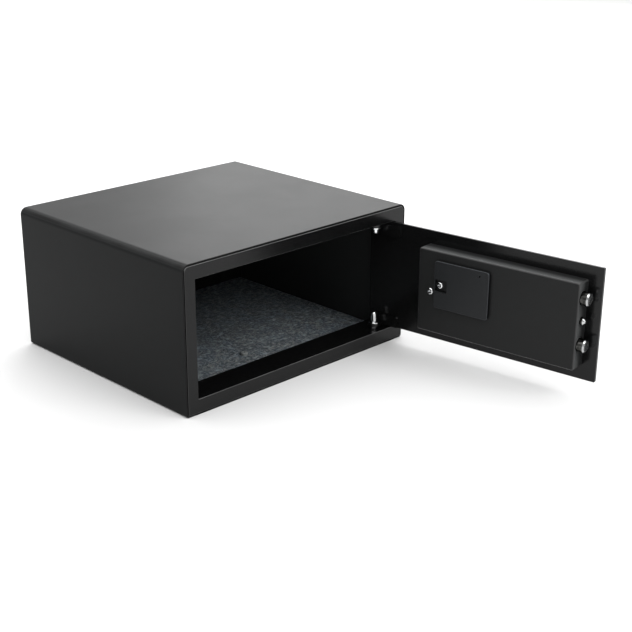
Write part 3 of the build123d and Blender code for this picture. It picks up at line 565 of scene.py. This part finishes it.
# ---------------------------------------------------------------- print on the keys
PRINT_DEPTH = 0.06 * MM
DIGIT_SIZE, CROSS_SIZE, PADLOCK_SIZE = 7.6 * MM, 4.6 * MM, 5.0 * MM
CROSS_LINE, CROSS_GAP, SHACKLE_LINE = 0.9 * MM, 0.35 * MM, 0.7 * MM
SHACKLE_STEPS = 12


def text_solid(text):
    """A generic character as a thin solid on the XY plane: its points and faces."""
    curve = bpy.data.curves.new("character", "FONT")
    curve.body = text
    curve.size = DIGIT_SIZE
    curve.align_x, curve.align_y = "CENTER", "CENTER"
    curve.extrude = PRINT_DEPTH / 2
    holder = in_scene("character", curve)
    bpy.context.view_layer.update()
    depsgraph = bpy.context.evaluated_depsgraph_get()
    shape = bpy.data.meshes.new_from_object(holder.evaluated_get(depsgraph))
    bpy.data.objects.remove(holder)
    xs, ys = [v.co.x for v in shape.vertices], [v.co.y for v in shape.vertices]
    base = Vector(((min(xs) + max(xs)) / 2, (min(ys) + max(ys)) / 2, -PRINT_DEPTH / 2))
    return [v.co - base for v in shape.vertices], [list(p.vertices) for p in shape.polygons]


def outline_solid(outlines):
    """Flat outlines as thin solids on the XY plane: their points and faces."""
    points, faces = [], []
    for outline in outlines:
        n, first = len(outline), len(points)
        points += [Vector((*p, z)) for z in (0, PRINT_DEPTH) for p in outline]
        bottom = [first + k for k in range(n)]
        top = [first + n + k for k in range(n)]
        faces += [bottom[::-1], top]
        faces += [[bottom[k], bottom[(k + 1) % n], top[(k + 1) % n], top[k]] for k in range(n)]
    return points, faces


def bar_outline(a, b, width):
    """Corners of a bar from a to b, in the plane."""
    a, b = Vector(a), Vector(b)
    along = (b - a).normalized()
    side = Vector((-along.y, along.x)) * width / 2
    return [a - side, b - side, b + side, a + side]


def cross_outlines():
    """A cross: one full bar, and two half bars that end at it."""
    h, gap = CROSS_SIZE / 2, CROSS_GAP
    bars = [((-h, -h), (h, h)), ((-h, h), (-gap, gap)), ((gap, -gap), (h, -h))]
    return [bar_outline(a, b, CROSS_LINE) for a, b in bars]


def padlock_outlines():
    """Padlock symbol: a body and a shackle made of short bars."""
    h = PADLOCK_SIZE / 2
    shoulder, spring, r = 0.1 * h, 0.45 * h, 0.62 * h
    inner, outer = r - SHACKLE_LINE / 2, r + SHACKLE_LINE / 2
    outlines = [[Vector(p) for p in ((-h, -h), (h, -h), (h, shoulder), (-h, shoulder))]]
    for k in range(SHACKLE_STEPS):
        a, b = math.pi * k / SHACKLE_STEPS, math.pi * (k + 1) / SHACKLE_STEPS
        corners = [(inner, a), (outer, a), (outer, b), (inner, b)]
        outlines.append([Vector((q * math.cos(t), spring + q * math.sin(t))) for q, t in corners])
    outlines += [bar_outline((x, shoulder), (x, spring), SHACKLE_LINE) for x in (-r, r)]
    return outlines


def key_print():
    """Digits on the number keys, a cross on the clear key and a padlock on the lock key."""
    ink = print_ink("key_ink", (0.72, 0.74, 0.76))
    prints = {digit: text_solid(digit) for digit in "0123456789"}
    prints["clear"] = outline_solid(cross_outlines())
    prints["lock"] = outline_solid(padlock_outlines())
    for name, (points, faces) in prints.items():
        key = f"key_{name}"
        place = outer_face(key)
        placed = [place @ p for p in points]
        mesh_piece(f"print_{name}", placed, faces, key, "key_plastic", ink, smooth=False)


key_print()


# ---------------------------------------------------------------- camera, floor and light
CAMERA_AT = Vector((-1.0732, -1.2717, 0.6657))
AZIMUTH, ELEVATION, ROLL = (math.radians(a) for a in (45.03, 20.75, 0.335))
LENS, SENSOR = 70.61, 36.0
NEAR, FAR = 0.05, 60.0
FLOOR_HALF, FLOOR_GREY, WORLD_WHITE = 14.0, 0.62, 0.70
SOFTBOXES = [
    # name, place, aim, width, height, watts
    ("overhead", (0, 0.5, 5.0), (0, 0.5, 0), 12.0, 12.0, 720),
    ("right_panel", (3.15, 1.53, 2.0), (0, 0, 0.2), 3.8, 2.4, 92),
    ("back_panel", (1.5, 3.0, 1.5), (0, 0, 0.2), 1.6, 1.4, 6.5),
    ("front", (0.55, -2.55, 2.2), (0, -0.2, 0.1), 1.8, 1.4, 45),
]


def camera():
    """A camera that looks along AZIMUTH, from BACK towards RIGHT, and down by ELEVATION."""
    level = Vector((math.sin(AZIMUTH), math.cos(AZIMUTH), 0))
    forward = math.cos(ELEVATION) * level - math.sin(ELEVATION) * UP
    right = forward.cross(UP).normalized()
    up = right.cross(forward)
    tilted_right = math.cos(ROLL) * right + math.sin(ROLL) * up
    tilted_up = math.cos(ROLL) * up - math.sin(ROLL) * right
    data = bpy.data.cameras.new("camera")
    data.lens, data.sensor_width = LENS, SENSOR
    data.clip_start, data.clip_end = NEAR, FAR
    pose = Matrix((tilted_right, tilted_up, -forward)).transposed().to_4x4()
    pose.translation = CAMERA_AT
    eye = in_scene("camera", data)
    eye.matrix_world = pose
    bpy.context.scene.camera = eye


def floor():
    mesh = bpy.data.meshes.new("floor")
    corners = [(FLOOR_HALF * x, FLOOR_HALF * y, 0) for x, y in ((-1, -1), (1, -1), (1, 1), (-1, 1))]
    mesh.from_pydata(corners, [], [(0, 1, 2, 3)])
    paint = Surface("floor", Base_Color=(FLOOR_GREY,) * 3, Roughness=0.7, Specular_IOR_Level=0.2)
    mesh.materials.append(paint.material)
    in_scene("floor", mesh)


def softbox(name, at, aim, width, height, watts):
    data = bpy.data.lights.new(name, "AREA")
    data.shape = "RECTANGLE"
    data.size, data.size_y = width, height
    data.energy = watts
    lamp = in_scene(name, data)
    lamp.location = at
    lamp.rotation_mode = "QUATERNION"
    lamp.rotation_quaternion = (Vector(aim) - Vector(at)).to_track_quat("-Z", "Y")


def studio():
    bpy.context.scene.view_settings.view_transform = "Standard"
    world = bpy.data.worlds.new("studio")
    world.use_nodes = True
    background = world.node_tree.nodes["Background"]
    background.inputs["Color"].default_value = (1.0, 1.0, 1.0, 1.0)
    background.inputs["Strength"].default_value = WORLD_WHITE
    bpy.context.scene.world = world
    for lamp in SOFTBOXES:
        softbox(*lamp)


camera()
floor()
studio()
